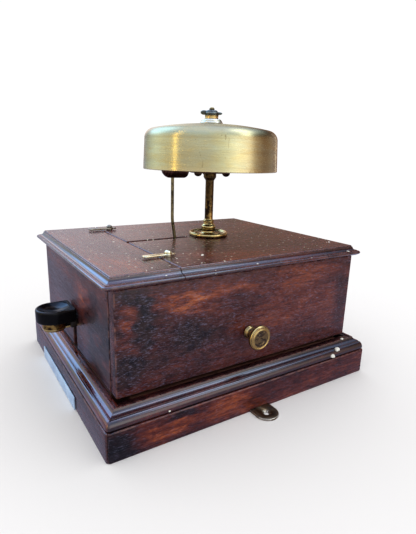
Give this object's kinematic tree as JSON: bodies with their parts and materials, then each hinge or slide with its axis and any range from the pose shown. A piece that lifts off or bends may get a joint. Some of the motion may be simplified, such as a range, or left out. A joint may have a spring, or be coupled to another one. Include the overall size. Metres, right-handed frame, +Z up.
{
  "type": "single-stroke signalling bell with tapper",
  "caption": "Six-inch brass gong on a pillar over a mahogany case: a tapper key at the front sends, and a hammer through a slot in the lid strikes the gong.",
  "frame": {"origin": "middle of the baseboard's underside", "axes": "+Z up along the gong's pillar; the tapper comes out of the front, which faces -Y; the access panel with its pull knob faces +X"},
  "size_m": [0.3032, 0.3202, 0.2826],
  "materials": {
    "mahogany": "varnished dark red-brown mahogany, worn at the arrises",
    "dark_wood": "unvarnished dark wood",
    "satin_brass": "satin, brushed round the rim",
    "old_brass": "old brass with brown patina",
    "dark_brass": "dark brown patina",
    "bright_brass": "pale, worn bright",
    "dark_steel": "blued steel, dull",
    "spring_steel": "bright drawn wire",
    "iron": "soft iron, machined",
    "hammer_brown": "nearly black brown patina",
    "ebonite": "polished black ebonite",
    "green_silk": "silk-covered wire, close wound",
    "white_metal": "pale silver sheet, dulled"
  },
  "bodies": {
    "case": {"base_moulding_front": "mahogany", "base_moulding_left": "mahogany", "base_moulding_rear": "mahogany", "base_moulding_right": "mahogany", "front_panel": "mahogany", "left_wall": "mahogany", "lid_front": "mahogany", "lid_rear": "mahogany", "plinth_front": "mahogany", "plinth_left": "mahogany", "plinth_rear": "mahogany", "plinth_right": "mahogany", "rear_wall": "mahogany", "baseboard": "dark_wood", "front_sill": "dark_wood", "right_sill": "dark_wood", "gong": "satin_brass", "contact_anvil": "old_brass", "flange_screw_1": "old_brass", "flange_screw_2": "old_brass", "flange_screw_3": "old_brass", "gong_pillar": "old_brass", "gong_sleeve": "old_brass", "lug_left": "old_brass", "lug_right": "old_brass", "stop_post": "old_brass", "tapper_back_stop": "old_brass", "terminal_1": "old_brass", "terminal_2": "old_brass", "terminal_3": "old_brass", "gong_seat": "dark_brass", "pivot_bracket": "dark_brass", "tapper_bracket": "dark_brass", "gong_washer": "bright_brass", "latch_screw_left": "bright_brass", "latch_screw_right": "bright_brass", "wing_nut": "dark_steel", "armature_spring": "spring_steel", "tapper_spring": "spring_steel", "magnet_yoke": "iron", "pivot_pin": "iron", "tapper_pin": "iron", "bobbin_left": "ebonite", "bobbin_right": "ebonite", "terminal_block": "ebonite", "winding_left": "green_silk", "winding_right": "green_silk", "label_plate": "white_metal"},
    "tapper": {"tapper_knob": "ebonite", "tapper_lever": "old_brass"},
    "hammer": {"hammer_rod": "old_brass", "hammer_head": "hammer_brown", "armature": "iron", "armature_lever": "old_brass"},
    "latch_right": {"latch_right": "bright_brass"},
    "latch_left": {"latch_left": "bright_brass"},
    "access_panel": {"access_panel": "mahogany", "panel_batten_front": "dark_wood", "panel_batten_rear": "dark_wood", "side_knob": "old_brass"}
  },
  "joints": [
    {"name": "tapper_press", "type": "hinge", "parent": "case", "child": "tapper", "pos_m": [-0.0027, -0.084, 0.067], "axis": [1, 0, 0], "range_deg": [0, 4.2], "stiffness_Nm_per_rad": 1.2, "springref_deg": -6.88, "deforming": ["tapper_spring"]},
    {"name": "hammer_swing", "type": "hinge", "parent": "case", "child": "hammer", "pos_m": [-0.0065, -0.01, 0.098], "axis": [1, 0, 0], "range_deg": [0, 5.2], "stiffness_Nm_per_rad": 0.5, "springref_deg": -6.88, "deforming": ["armature_spring"]},
    {"name": "latch_right_turn", "type": "hinge", "parent": "case", "child": "latch_right", "pos_m": [0.069, -0.067, 0.145], "axis": [0, 0, 1], "continuous": true},
    {"name": "latch_left_turn", "type": "hinge", "parent": "case", "child": "latch_left", "pos_m": [-0.082, -0.067, 0.145], "axis": [0, 0, 1], "continuous": true},
    {"name": "access_panel_pull", "type": "slide", "parent": "case", "child": "access_panel", "axis": [1, 0, 0], "range_m": [0, 0.05]}
  ]
}
